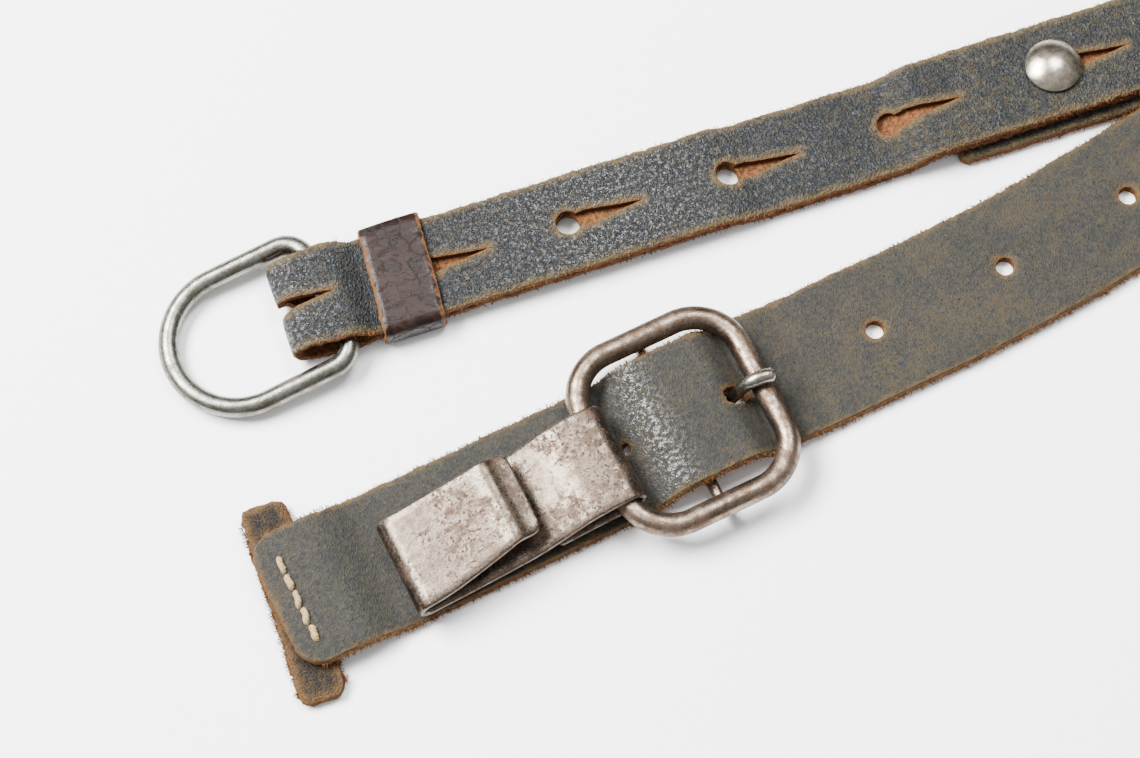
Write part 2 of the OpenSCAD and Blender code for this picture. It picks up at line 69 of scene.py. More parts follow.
def ramp(x0, z0, x1, z1, n=10):
    """Points of a smooth ramp from (x0, z0) to (x1, z1)."""
    return [(x0 + (x1 - x0) * i / n, z0 + (z1 - z0) * float(smooth(i / n))) for i in range(n + 1)]


def arc(cx, cz, r, a0, a1, n=16):
    angles = [math.radians(a0 + (a1 - a0) * i / n) for i in range(n + 1)]
    return [(cx + r * math.cos(a), cz + r * math.sin(a)) for a in angles]


# ---- Places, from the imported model

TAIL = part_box("left_front_strap")[0].x / MM
LANE = centre("left_buckle_frame")[1] + 1.5
BUCKLE = centre("left_buckle_frame")[0] - TAIL
STRAP_W, STRAP_T = 30.5, 2.8
AUX_W, AUX_T = 22.0, 1.8
AUX_ANGLE = math.radians(7.55)
STUD = centre("left_aux_stud")[:2]
REAR_STUD = centre("rear_stud")[:2]
HOOK_AT = joint_place("left_hook_swing")
REAR_HOOK_AT = joint_place("rear_hook_swing")
RING_BAR = joint_place("left_ring_swing")
REAR_BAR = joint_place("rear_loop_swing")
SHOULDER = joint_place("left_shoulder_ring_swing")
PITCH = 36.2
STOP_T = 3.0
AUX_RAISE = 3.1
AUX_LIFT = 1.7
LAYER = 2.0
FOLD_Z = RING_BAR[2]
FOLD_R = FOLD_Z - AUX_T
RING_R = centre("back_ring")[2]

# The front strap's route, seen from above: straight, a slow bend, straight, a bend, straight to the ring
STRAIGHT = 151.8
BEND1_R, BEND1 = 400.0, math.radians(7)
BEND2_R, BEND2 = 500.0, math.radians(30)
BACK_R = 28.0
REACH = 46.0
END_LEN = BACK_R + REACH
DX1, DY1 = BEND1_R * math.sin(BEND1), BEND1_R * (1 - math.cos(BEND1))
DX2 = BEND2_R * (math.sin(BEND2) - math.sin(BEND1))
DY2 = BEND2_R * (math.cos(BEND1) - math.cos(BEND2))
MID_LEN = (-LANE - DY1 - DY2 - END_LEN * math.sin(BEND2)) / math.sin(BEND1)
S_BEND1 = STRAIGHT + BEND1_R * BEND1
S_MID = S_BEND1 + MID_LEN
S_BEND2 = S_MID + BEND2_R * (BEND2 - BEND1)
TAPER = 110.0
LOOP_W = 20.0


def route(s):
    """Place and heading on the front strap's middle line, for an array of distances from the tail end."""
    a1 = (s - STRAIGHT) / BEND1_R
    a2 = BEND1 + (s - S_MID) / BEND2_R
    x1, y1 = STRAIGHT + DX1, DY1
    x2, y2 = x1 + MID_LEN * math.cos(BEND1), y1 + MID_LEN * math.sin(BEND1)
    part = [s <= STRAIGHT, s <= S_BEND1, s <= S_MID, s <= S_BEND2]
    x = np.select(part, [s, STRAIGHT + BEND1_R * np.sin(a1), x1 + (s - S_BEND1) * math.cos(BEND1),
                         x2 + BEND2_R * (np.sin(a2) - math.sin(BEND1))],
                  x2 + DX2 + (s - S_BEND2) * math.cos(BEND2))
    y = np.select(part, [0 * s, BEND1_R * (1 - np.cos(a1)), y1 + (s - S_BEND1) * math.sin(BEND1),
                         y2 + BEND2_R * (math.cos(BEND1) - np.cos(a2))],
                  y2 + DY2 + (s - S_BEND2) * math.sin(BEND2))
    a = np.select(part, [0 * s, a1, 0 * s + BEND1, a2], BEND2)
    return x, y, a


def front_plan(s, u):
    x, y, a = route(s)
    return TAIL + x - u * np.sin(a), LANE + y + u * np.cos(a)


def turned(place, angle, shift=0.0):
    """A plan with its origin at place, its x axis turned by angle and u measured from shift."""
    c, s = math.cos(angle), math.sin(angle)

    def plan(x, u):
        v = u + shift
        return place[0] + x * c - v * s, place[1] + x * s + v * c
    return plan


aux_plan = turned(STUD, -AUX_ANGLE)
rear_plan = turned(REAR_STUD, math.pi)


# ---- Node helpers

class Nodes:
    """Builds a material's nodes. Each call adds one node and returns its first output."""

    def __init__(self, name):
        self.material = bpy.data.materials.new(name)
        self.material.use_nodes = True
        self.tree = self.material.node_tree
        self.tree.nodes.clear()
        self.out = self.tree.nodes.new("ShaderNodeOutputMaterial")
        self.shader = self.tree.nodes.new("ShaderNodeBsdfPrincipled")
        self.tree.links.new(self.shader.outputs[0], self.out.inputs[0])

    def set(self, socket, value):
        if isinstance(value, bpy.types.NodeSocket):
            self.tree.links.new(value, socket)
        elif isinstance(value, (tuple, list)) and len(value) == 3 and socket.type == "RGBA":
            socket.default_value = (*value, 1)
        else:
            socket.default_value = value

    def add(self, kind, output=0, inputs=None, **settings):
        node = self.tree.nodes.new("ShaderNode" + kind)
        for key, value in settings.items():
            setattr(node, key, value)
        for key, value in (inputs or {}).items():
            self.set(node.inputs[key], value)
        return node.outputs[output]

    def noise(self, at, scale, detail=3.0, rough=0.55, distort=0.0, output="Fac"):
        return self.add("TexNoise", output, {"Vector": at, "Scale": scale, "Detail": detail,
                                             "Roughness": rough, "Distortion": distort})

    def fade(self, value, low, high):
        """0 below low, 1 above high. With low over high it falls instead."""
        if low < high:
            return self.add("MapRange", 0, {"Value": value, "From Min": low, "From Max": high},
                            interpolation_type="SMOOTHSTEP")
        return self.add("MapRange", 0, {"Value": value, "From Min": high, "From Max": low, "To Min": 1.0,
                                        "To Max": 0.0}, interpolation_type="SMOOTHSTEP")

    def math(self, kind, a, b=0.0, c=0.0):
        node = self.tree.nodes.new("ShaderNodeMath")
        node.operation = kind
        for socket, value in zip(node.inputs, (a, b, c)):
            self.set(socket, value)
        return node.outputs[0]

    def mix(self, factor, a, b):
        node = self.tree.nodes.new("ShaderNodeMix")
        node.data_type = "RGBA"
        self.set(node.inputs[0], factor)
        self.set(node.inputs[6], a)
        self.set(node.inputs[7], b)
        return node.outputs[2]

    def mix_value(self, factor, a, b):
        node = self.tree.nodes.new("ShaderNodeMix")
        self.set(node.inputs[0], factor)
        self.set(node.inputs[2], a)
        self.set(node.inputs[3], b)
        return node.outputs[0]

    def bump(self, height, distance, strength=1.0, normal=None):
        inputs = {"Height": height, "Distance": distance, "Strength": strength}
        if normal is not None:
            inputs["Normal"] = normal
        return self.add("Bump", 0, inputs)

    def finish(self, **inputs):
        for key, value in inputs.items():
            self.set(self.shader.inputs[key.replace("_", " ")], value)
        return self.material


def leather(name, dark, light, wear, border, raw, raw_dark, cell, crack, gloss, wear_from, border_w,
            bump=0.00018, sparkle=0.0, pebble=0.8, crease=(1.0, 1.0, 1.0), specular=0.3):
    """Leather with a cracked grain, worn patches, a rubbed border and raw cut edges.

    The mesh carries "flat", the place on the strap before it was bent, in millimetres, and "edge",
    the distance from the nearest cut edge, in millimetres."""
    n = Nodes(name)
    flat = n.add("Attribute", "Vector", attribute_name="flat")
    edge = n.add("Attribute", "Fac", attribute_name="edge")
    wobble = n.add("VectorMath", 0, {0: flat, 1: n.add("VectorMath", 0, {
        0: n.noise(flat, 0.9, 2.0, output="Color"), 1: (0.9, 0.9, 0.9)}, operation="MULTIPLY")},
        operation="ADD")
    cells = n.add("TexVoronoi", "Distance", {"Vector": wobble, "Scale": 1 / cell},
                  feature="DISTANCE_TO_EDGE")
    tone = n.add("TexVoronoi", "Color", {"Vector": wobble, "Scale": 1 / cell}, feature="F1")
    tone = n.add("SeparateColor", 0, {"Color": tone})
    grain = n.noise(n.add("VectorMath", 0, {0: flat, 1: crease}, operation="MULTIPLY"), 2.4, 4.0, 0.7)
    fine = n.noise(flat, 6.0, 2.0, 0.6)
    broad = n.noise(flat, 0.09, 4.0, 0.6)
    patch = n.noise(flat, 0.45, 5.0, 0.68)
    cracks = n.math("MULTIPLY", n.fade(cells, 0.13, 0.02), n.fade(patch, 0.40, 0.56))

    color = n.mix(n.fade(n.math("ADD", n.math("MULTIPLY", grain, 0.55),
                                n.math("MULTIPLY", tone, 0.45)), 0.34, 0.72), dark, light)
    color = n.mix(n.math("MULTIPLY", cracks, crack), color, wear)
    dry = n.add("Attribute", "Fac", attribute_name="dry")
    worn = n.math("ADD", n.math("MULTIPLY", patch, 0.25), n.math("MULTIPLY", broad, 0.25))
    worn = n.math("ADD", worn, n.math("MULTIPLY", grain, 0.50))
    worn = n.math("ADD", worn, n.math("MULTIPLY", dry, 0.060))
    worn = n.fade(worn, wear_from, wear_from + 0.10)
    color = n.mix(worn, color, wear)
    color = n.mix(n.fade(n.noise(flat, 1.7, 3.0, 0.65), 0.40, 0.31), color, [c * 0.35 for c in dark])

    ragged = n.math("ADD", edge, n.math("MULTIPLY", n.math("SUBTRACT", patch, 0.5), 5.0))
    rubbed = n.math("MULTIPLY", n.fade(ragged, border_w, 0.15), n.fade(grain, 0.30, 0.55))
    color = n.mix(rubbed, color, border)
    fibres = n.noise(n.add("VectorMath", 0, {0: flat, 1: (0.5, 0.5, 3.0)}, operation="MULTIPLY"),
                     2.2, 5.0, 0.75)
    raw_color = n.mix(n.fade(fibres, 0.36, 0.64), raw_dark, raw)
    raw_edge = n.fade(n.math("ADD", edge, n.math("MULTIPLY", fine, 0.25)), 0.42, 0.16)
    depth = n.add("SeparateXYZ", "Z", {"Vector": flat})
    back = n.fade(depth, 0.3, 0.1)
    cut = n.math("MAXIMUM", raw_edge, back)
    color = n.mix(cut, color, raw_color)

    rough = n.mix_value(n.fade(grain, 0.35, 0.65), gloss, gloss + 0.22)
    rough = n.mix_value(n.math("MAXIMUM", n.math("MAXIMUM", cracks, worn), rubbed), rough, 0.72)
    polish = n.add("Attribute", "Fac", attribute_name="polish")
    gloss_at = n.math("MAXIMUM", n.math("MULTIPLY", n.fade(broad, 0.36, 0.56), sparkle * 0.35), polish)
    spots = n.math("MULTIPLY", n.fade(n.noise(flat, 1.1, 3.0, 0.6), 0.46, 0.58), gloss_at)
    rough = n.mix_value(spots, rough, 0.20)
    rough = n.mix_value(cut, rough, 0.95)
    shine = n.mix_value(spots, specular, 0.7)
    shine = n.mix_value(cut, n.mix_value(n.math("MAXIMUM", worn, rubbed), shine, 0.12), 0.1)
    height = n.math("ADD", n.math("MULTIPLY", n.fade(cells, 0.0, 0.30), pebble), n.math("MULTIPLY", grain, 0.7))
    height = n.math("ADD", height, n.math("MULTIPLY", fine, 0.18))
    height = n.mix_value(cut, height, n.math("MULTIPLY", fibres, 2.4))
    return n.finish(Base_Color=color, Roughness=rough, Normal=n.bump(height, bump),
                    Specular_IOR_Level=shine)


def steel(name, bright, dull, rust, rust_dark, rough, rust_from, speckle, scale=1.0, metallic=1.0):
    """Worn bare metal with brown patina, rust speckles and fine scratches."""
    n = Nodes(name)
    at = n.add("TexCoord", "Object")
    at = n.add("VectorMath", 0, {0: at, "Scale": 1000.0 * scale}, operation="SCALE")
    broad = n.noise(at, 0.10, 4.0, 0.6)
    patch = n.noise(at, 0.42, 6.0, 0.70)
    fine = n.noise(at, 2.2, 5.0, 0.72)
    specks = n.noise(at, 1.15, 4.0, 0.62)
    color = n.mix(n.fade(patch, 0.36, 0.62), bright, dull)
    spread = n.math("ADD", n.math("MULTIPLY", patch, 0.5), n.math("MULTIPLY", broad, 0.5))
    stain = n.math("MULTIPLY", n.fade(spread, rust_from, rust_from + 0.13), n.fade(fine, 0.34, 0.60))
    spots = n.math("MULTIPLY", n.fade(specks, 0.66 - speckle * 0.12, 0.72 - speckle * 0.10),
                   n.fade(broad, 0.38, 0.55))
    rusty = n.math("MAXIMUM", n.math("MULTIPLY", stain, 0.6), n.math("MULTIPLY", spots, min(1.0, speckle)))
    color = n.mix(rusty, color, n.mix(n.fade(fine, 0.38, 0.62), rust_dark, rust))
    scratch = n.noise(n.add("VectorMath", 0, {0: at, 1: (0.35, 3.5, 3.5)}, operation="MULTIPLY"),
                      1.3, 4.0, 0.7)
    worn = n.mix_value(n.fade(n.math("ADD", n.math("MULTIPLY", fine, 0.6), n.math("MULTIPLY", scratch, 0.4)),
                              0.38, 0.62), rough, rough + 0.08)
    worn = n.mix_value(rusty, worn, 0.72)
    metal = n.mix_value(n.math("MULTIPLY", rusty, 0.8), metallic, 0.25)
    height = n.math("ADD", n.math("MULTIPLY", fine, 0.5), n.math("MULTIPLY", patch, 0.5))
    height = n.math("ADD", height, n.math("MULTIPLY", rusty, 0.5))
    return n.finish(Base_Color=color, Roughness=worn, Metallic=metal, Normal=n.bump(height, 0.00007))


def thread_material():
    n = Nodes("waxed_thread")
    at = n.add("Attribute", "Vector", attribute_name="flat")
    strands = n.add("TexWave", "Fac", {"Vector": at, "Scale": 0.9, "Distortion": 1.2, "Detail": 2.0},
                    bands_direction="DIAGONAL")
    fuzz = n.noise(at, 2.5, 4.0, 0.7)
    color = n.mix(n.fade(fuzz, 0.35, 0.65), (0.42, 0.31, 0.155), (0.25, 0.155, 0.062))
    # painted shade: the colour darkens in the grooves between the strands, where the strand wave, which is also
    # the bump height, is low
    color = n.mix(n.math("MULTIPLY", n.fade(strands, 0.4, 0.1), 0.6), color, (0.24, 0.14, 0.06))
    height = n.math("ADD", strands, fuzz)
    return n.finish(Base_Color=color, Roughness=0.7, Normal=n.bump(height, 0.00012))


def floor_material():
    n = Nodes("white_table")
    at = n.add("TexCoord", "Object")
    shade = n.mix(n.noise(at, 3.0, 3.0), (0.93, 0.93, 0.935), (0.96, 0.96, 0.965))
    return n.finish(Base_Color=shade, Roughness=0.9, Specular_IOR_Level=0.1)


MATERIALS = {
    "worn": leather("olive_worn_leather", (0.015, 0.0158, 0.0158), (0.0275, 0.0245, 0.0175),
                    (0.039, 0.0305, 0.0185), (0.066, 0.043, 0.019), (0.150, 0.068, 0.024), (0.042, 0.017, 0.006),
                    0.62, 0.25, 0.50, 0.54, 1.5, bump=0.00009, sparkle=0.25, specular=0.13),
    "aux": leather("cracked_black_leather", (0.0080, 0.0096, 0.0112), (0.0145, 0.0166, 0.0180),
                   (0.038, 0.0305, 0.0175), (0.084, 0.058, 0.026), (0.175, 0.072, 0.030), (0.048, 0.019, 0.007),
                   0.80, 0.58, 0.34, 0.56, 2.0, bump=0.00022, sparkle=1.0, specular=0.15),
    "keeper": leather("brown_keeper_leather", (0.0065, 0.0027, 0.0021), (0.0125, 0.0052, 0.0037),
                      (0.045, 0.018, 0.008), (0.085, 0.040, 0.016), (0.190, 0.080, 0.028),
                      (0.055, 0.022, 0.007), 3.2, 0.0, 0.20, 0.60, 0.8, bump=0.00010, pebble=0.0,
                      crease=(0.35, 0.06, 0.35), specular=0.15),
    "stop": leather("stop_leather", (0.008, 0.008, 0.008), (0.019, 0.016, 0.012), (0.052, 0.031, 0.013),
                    (0.085, 0.045, 0.017), (0.150, 0.066, 0.022), (0.034, 0.013, 0.004),
                    0.8, 0.3, 0.55, 0.50, 2.6, specular=0.12),
    "buckle": steel("brown_worn_steel", (0.200, 0.158, 0.122), (0.098, 0.066, 0.045), (0.062, 0.027, 0.014),
                    (0.026, 0.010, 0.005), 0.26, 0.455, 0.35),
    "hook": steel("rust_specked_steel", (0.112, 0.092, 0.073), (0.070, 0.051, 0.037), (0.068, 0.026, 0.012),
                  (0.026, 0.009, 0.004), 0.24, 0.475, 1.0, scale=1.3),
    "ring": steel("galvanised_steel", (0.210, 0.211, 0.190), (0.118, 0.109, 0.086), (0.095, 0.066, 0.036),
                  (0.050, 0.031, 0.016), 0.26, 0.515, 0.3),
    "prong": steel("bright_steel", (0.30, 0.28, 0.25), (0.17, 0.145, 0.12), (0.10, 0.055, 0.03),
                   (0.045, 0.02, 0.011), 0.22, 0.57, 0.2),
    "nickel": steel("polished_nickel", (0.46, 0.415, 0.34), (0.28, 0.235, 0.18), (0.17, 0.11, 0.06),
                    (0.09, 0.052, 0.026), 0.16, 0.57, 0.15),
    "thread": thread_material(),
}


# ---- Straps and strips

def make_object(name, verts, faces, material, attributes=None, sharp=40.0):
    mesh = bpy.data.meshes.new(name)
    mesh.from_pydata([tuple(v) for v in verts], [], [tuple(int(i) for i in f) for f in faces])
    mesh.validate()
    for key, values in (attributes or {}).items():
        values = np.asarray(values, dtype=np.float32)
        if values.ndim == 2:
            mesh.attributes.new(key, "FLOAT_VECTOR", "POINT").data.foreach_set("vector", values.ravel())
        else:
            mesh.attributes.new(key, "FLOAT", "POINT").data.foreach_set("value", values)
    for p in mesh.polygons:
        p.use_smooth = True
    mesh.set_sharp_from_angle(angle=math.radians(sharp))
    mesh.materials.append(MATERIALS[material])
    obj = bpy.data.objects.new(name, mesh)
    bpy.context.scene.collection.objects.link(obj)
    return obj


def section(half, thick, columns, soft):
    """One loop round a strip's section, as (u, t): the underside, a side, the top and a side."""
    us = np.linspace(-(half - soft), half - soft, columns)
    q = 0.28 * soft
    side = [(half - q, 0.10 * thick), (half, 0.34 * thick), (half, 0.66 * thick), (half - q, 0.90 * thick)]
    return ([(u, 0.0) for u in us] + side + [(u, thick) for u in us[::-1]]
            + [(-u, t) for u, t in side[::-1]])


def rounded(s, length, radii):
    """How much the half width shrinks at s so that the strip's ends have round corners."""
    cut = 0.0
    for d, r in ((s, radii[0]), (length - s, radii[1])):
        if r and d < r:
            cut = max(cut, r - math.sqrt(max(0.0, r * r - (r - d) ** 2)))
    return cut


def outline_distance(p, outline):
    """Distance from each point of p to a closed outline."""
    best = np.full(len(p), 1e9)
    for a, b in zip(outline, np.roll(outline, -1, axis=0)):
        d = b - a
        f = np.clip(((p - a) @ d) / max(1e-12, d @ d), 0, 1)
        best = np.minimum(best, np.linalg.norm(p - (a + f[:, None] * d), axis=1))
    return best


def cut_out(obj, outlines, thick):
    """Cuts each outline right through the flat strip."""
    verts, faces = [], []
    for outline in outlines:
        n, base = len(outline), len(verts)
        verts += [(x, y, -1.0) for x, y in outline] + [(x, y, thick + 1.0) for x, y in outline]
        faces += [[base + i for i in range(n)][::-1], [base + n + i for i in range(n)]]
        faces += [[base + i, base + (i + 1) % n, base + n + (i + 1) % n, base + n + i] for i in range(n)]
    mesh = bpy.data.meshes.new("cutter")
    mesh.from_pydata(verts, [], faces)
    cutter = bpy.data.objects.new("cutter", mesh)
    bpy.context.scene.collection.objects.link(cutter)
    mod = obj.modifiers.new("cut", "BOOLEAN")
    mod.operation = "DIFFERENCE"
    mod.solver = "MANIFOLD"
    mod.object = cutter
    bpy.context.view_layer.update()
    result = bpy.data.meshes.new_from_object(obj.evaluated_get(bpy.context.evaluated_depsgraph_get()))
    bpy.data.objects.remove(cutter)
    bpy.data.objects.remove(obj)
    return result


class Bend:
    """Carries a flat strip along a middle line (x, z) and a plan."""

    def __init__(self, mid, thick, plan, closed=False, lean=None):
        self.mid = np.array(mid, dtype=float)
        if closed:
            self.mid = np.vstack([self.mid, self.mid[:1]])
        self.closed = closed
        self.thick = thick
        self.plan = plan
        self.lean = lean
        steps = np.linalg.norm(np.diff(self.mid, axis=0), axis=1)
        self.s = np.concatenate([[0], np.cumsum(steps)])
        self.length = self.s[-1]
        d = np.diff(self.mid, axis=0) / steps[:, None]
        first = (d[0] + d[-1]) / 2 if closed else d[0]
        last = first if closed else d[-1]
        t = np.vstack([first, (d[1:] + d[:-1]) / 2, last])
        t /= np.linalg.norm(t, axis=1)[:, None]
        self.normal = np.stack([-t[:, 1], t[:, 0]], axis=1)

    def x_at(self, s):
        return np.interp(s, self.s, self.mid[:, 0])

    def world(self, flat):
        """flat is (s, u, t) for each point."""
        s, u, t = flat.T
        if self.lean:
            u = u + np.array([self.lean(v) for v in s])
        x = np.interp(s, self.s, self.mid[:, 0])
        z = np.interp(s, self.s, self.mid[:, 1])
        nx = np.interp(s, self.s, self.normal[:, 0])
        nz = np.interp(s, self.s, self.normal[:, 1])
        k = (t - self.thick / 2) / np.sqrt(nx * nx + nz * nz)
        wx, wy = self.plan(x + nx * k, u)
        return np.stack([wx, wy, z + nz * k], axis=1) * MM


def fuzz(rng, bend, width, count, reach, span):
    """Short loose fibres on a strip's raw edges, as (vertices, faces, flat places)."""
    verts, faces, flats = [], [], []
    for _ in range(count):
        s = rng.uniform(*span)
        side = rng.choice((-1, 1))
        long = (reach(s) if callable(reach) else reach) * rng.random() ** 2.2 + 0.15
        lean = rng.uniform(-0.9, 0.9)
        t = rng.uniform(0.15, 0.95) * bend.thick
        rise = rng.uniform(-0.4, 0.35)
        r = rng.uniform(0.05, 0.11)
        curl = rng.uniform(-0.6, 0.6)
        half = width(s)
        base = len(verts)
        root = np.array([s, side * (half - 0.15), t])
        mid = root + np.array([lean * long * 0.5, side * long * 0.6, rise * long * 0.5])
        tip = root + np.array([(lean + curl) * long, side * (long + 0.15), rise * long])
        ring = [np.array([r, 0, -r * 0.6]), np.array([-r, 0, -r * 0.6]), np.array([0, 0, r])]
        verts += [root + v for v in ring] + [mid + v * 0.7 for v in ring] + [tip]
        flats += [root] * 7
        order = [0, 1, 2] if side > 0 else [0, 2, 1]
        a, b, c = (base + i for i in order)
        faces += [[c, b, a]]
        for i, j in ((a, b), (b, c), (c, a)):
            faces += [[i, j, j + 3, i + 3], [i + 3, j + 3, base + 6]]
    return verts, faces, flats


def strip(name, mid, width, thick, plan, material, outlines=(), fine=(0.0, 0.0), step=3.0, fine_step=0.8,
          columns=14, corners=(0.0, 0.0), soft=0.45, ragged=0.22, wavy=0.08, fibres=0, fibre_len=0.9,
          seed=1, closed=False, sharp=40.0, lean=None, polish=None, dry=None):
    """A strap or metal strip: a flat solid with its holes, bent along its middle line and its plan.

    width is a function of s, half the strip's width there. The flat solid gets uneven edges and a slight
    waviness before it is bent."""
    bend = Bend(mid, thick, plan, closed, lean)
    length = bend.length
    stations = [0.0]
    if not closed:
        stations += [0.12, 0.4, 0.9, 1.6, 2.6, 4.0]
    while stations[-1] < length - 4.5:
        s = stations[-1]
        stations.append(s + (fine_step if fine[0] <= s <= fine[1] else step))
    if closed:
        count = len(stations)
        stations = [length * i / count for i in range(count)]
    else:
        tail = [d for d in (4.0, 2.6, 1.6, 0.9, 0.4, 0.12, 0.0) if length - d > stations[-1] + 0.3]
        stations += [length - d for d in tail]
    size = 2 * columns + 8
    flat = []
    for s in stations:
        half = width(s) - (0.0 if closed else rounded(s, length, corners))
        end = 1.0 if closed else min(s, length - s)
        squeeze = 1.0 if end >= 0.4 else (0.86 if end > 0.05 else 0.5)
        flat += [(s, u, thick / 2 + (t - thick / 2) * squeeze) for u, t in section(half, thick, columns, soft)]
    count = len(stations)
    faces = []
    for i in range(count if closed else count - 1):
        a, b = i * size, ((i + 1) % count) * size
        for j in range(size):
            k = (j + 1) % size
            faces.append([a + j, b + j, b + k, a + k])
    if not closed:
        top = columns + 4
        for base, flip in ((0, False), ((count - 1) * size, True)):
            cap = [[j, j + 1, top + columns - 2 - j, top + columns - 1 - j] for j in range(columns - 1)]
            cap.append([columns - 1 + i for i in range(6)])
            cap.append([top + columns - 1 + i for i in range(5)] + [0])
            for f in cap:
                f = [base + i for i in f]
                faces.append(f[::-1] if flip else f)
    outlines = [np.array(o, dtype=float) for o in outlines]
    if outlines:
        obj = make_object(name + "_flat", flat, faces, material)
        mesh = cut_out(obj, outlines, thick)
        flat = np.empty(len(mesh.vertices) * 3)
        mesh.vertices.foreach_get("co", flat)
        flat = flat.reshape(-1, 3)
        faces = [list(p.vertices) for p in mesh.polygons]
        bpy.data.meshes.remove(mesh)
    flat = np.array(flat, dtype=float)
    half = np.array([width(s) for s in flat[:, 0]])
    edge = half - np.abs(flat[:, 1])
    if not closed:
        shrink = np.array([rounded(s, length, corners) for s in flat[:, 0]])
        edge = np.minimum(edge - shrink, np.minimum(flat[:, 0], length - flat[:, 0]))
    hole = np.full(len(flat), 1e9)
    for outline in outlines:
        hole = np.minimum(hole, outline_distance(flat[:, :2], outline))
    edge = np.clip(np.minimum(edge, hole), 0, 50)
    keep = flat.copy()
    near = np.exp(-edge / 0.55) * np.where(hole < 1.5, 0.22, 1.0)
    drift = np.zeros((len(flat), 3))
    for i, (s, u, t) in enumerate(flat):
        v = Vector((s * 0.9 + seed * 13.7, u * 0.9, t * 0.7))
        slow = noise.noise(Vector((s * 0.16 + seed * 7.1, 3.0 + math.copysign(2.0, u), 0.5)))
        if near[i] > 0.02 and ragged:
            w = noise.noise_vector(v)
            drift[i] = (w[0] * ragged, w[1] * ragged * 1.6 + slow * ragged * math.copysign(1.0, u), 0)
            drift[i] *= near[i]
        if wavy:
            drift[i][2] = wavy * noise.noise(Vector((s * 0.11, u * 0.13, seed * 3.3)))
    flat = flat + drift
    flat[:, 2] -= np.where(keep[:, 2] > thick * 0.8, 0.14 * thick * np.exp(-edge / 0.7), 0) * (ragged > 0)
    if fibres:
        rng = random.Random(seed)
        extra, more, places = fuzz(rng, bend, width, fibres, fibre_len,
                                   (max(fine[0], corners[0] * 0.6), min(fine[1], length - corners[1])))
        base = len(flat)
        flat = np.vstack([flat, np.array(extra)])
        keep = np.vstack([keep, np.array(places)])
        edge = np.concatenate([edge, np.zeros(len(extra))])
        faces += [[base + i for i in f] for f in more]
    points = bend.world(flat)
    marks = {"flat": keep.copy(), "edge": edge}
    for key, value in (("polish", polish), ("dry", dry)):
        marks[key] = np.array([value(s) if value else 0.0 for s in keep[:, 0]])
    marks["flat"][:, 0] += seed * 731.0
    return make_object(name, points, faces, material, marks, sharp)


def tube(name, path, radius, material, sides=16, closed=False, flatten=1.0, seed=1, bumpy=0.0, sharp=60.0):
    """A round bar along a path of (x, y, z). radius is a number or one for each point."""
    path = np.array(path, dtype=float)
    n = len(path)
    radius = np.full(n, radius) if np.isscalar(radius) else np.array(radius, dtype=float)
    if closed:
        t = np.roll(path, -1, axis=0) - np.roll(path, 1, axis=0)
    else:
        t = np.gradient(path, axis=0)
    t /= np.linalg.norm(t, axis=1)[:, None]
    up = np.array([0.0, 0.0, 1.0])
    side = np.cross(t, up)
    weak = np.linalg.norm(side, axis=1) < 0.2
    side[weak] = np.cross(t[weak], np.array([0.0, 1.0, 0.0]))
    side /= np.linalg.norm(side, axis=1)[:, None]
    over = np.cross(side, t)
    verts, flats = [], []
    along = np.concatenate([[0], np.cumsum(np.linalg.norm(np.diff(path, axis=0), axis=1))])
    for i in range(n):
        for k in range(sides):
            a = 2 * math.pi * k / sides
            r = radius[i] * (1 + bumpy * noise.noise(Vector((along[i] * 0.25, math.cos(a), math.sin(a) + seed))))
            verts.append(path[i] + side[i] * r * math.cos(a) + over[i] * r * flatten * math.sin(a))
            flats.append((along[i] + seed * 91.0, r * math.cos(a), 2 + r * math.sin(a)))
    faces = []
    for i in range(n if closed else n - 1):
        a, b = i * sides, ((i + 1) % n) * sides
        faces += [[a + k, a + (k + 1) % sides, b + (k + 1) % sides, b + k] for k in range(sides)]
    if not closed:
        faces += [list(range(sides))[::-1], [(n - 1) * sides + k for k in range(sides)]]
    return make_object(name, np.array(verts) * MM, faces, material,
                       {"flat": flats, "edge": np.full(len(verts), 20.0)}, sharp)


def joined(name, *objects):
    """One object from several, as loose parts of one mesh."""
    with bpy.context.temp_override(active_object=objects[0], object=objects[0],
                                   selected_editable_objects=list(objects)):
        bpy.ops.object.join()
    objects[0].name = name
    objects[0].data.name = name
    return objects[0]


def mirrored(obj, name):
    """The right side's copy of a left piece. Its grain is taken from elsewhere on the hide."""
    mesh = obj.data.copy()
    mesh.name = name
    n = len(mesh.vertices)
    co = np.empty(n * 3)
    mesh.vertices.foreach_get("co", co)
    co = co.reshape(-1, 3)
    co[:, 1] *= -1
    mesh.vertices.foreach_set("co", co.ravel())
    flat = mesh.attributes.get("flat")
    if flat:
        values = np.empty(n * 3, dtype=np.float32)
        flat.data.foreach_get("vector", values)
        values = values.reshape(-1, 3)
        values[:, 0] += 4000
        flat.data.foreach_set("vector", values.ravel())
    mesh.flip_normals()
    mesh.update()
    copy = bpy.data.objects.new(name, mesh)
    bpy.context.scene.collection.objects.link(copy)
    return copy


def place(obj, body, node, material):
    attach(obj, body)
    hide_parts(node)


def both_sides(obj, body, node, material):
    """Places a left piece and its mirror image on the right."""
    copy = mirrored(obj, obj.name.replace("left_", "right_"))
    place(obj, "left_" + body, "left_" + node, material)
    place(copy, "right_" + body, "right_" + node, material)


def circle(s, u, d, n=20):
    return [(s + d / 2 * math.cos(2 * math.pi * i / n), u + d / 2 * math.sin(2 * math.pi * i / n))
            for i in range(n)]


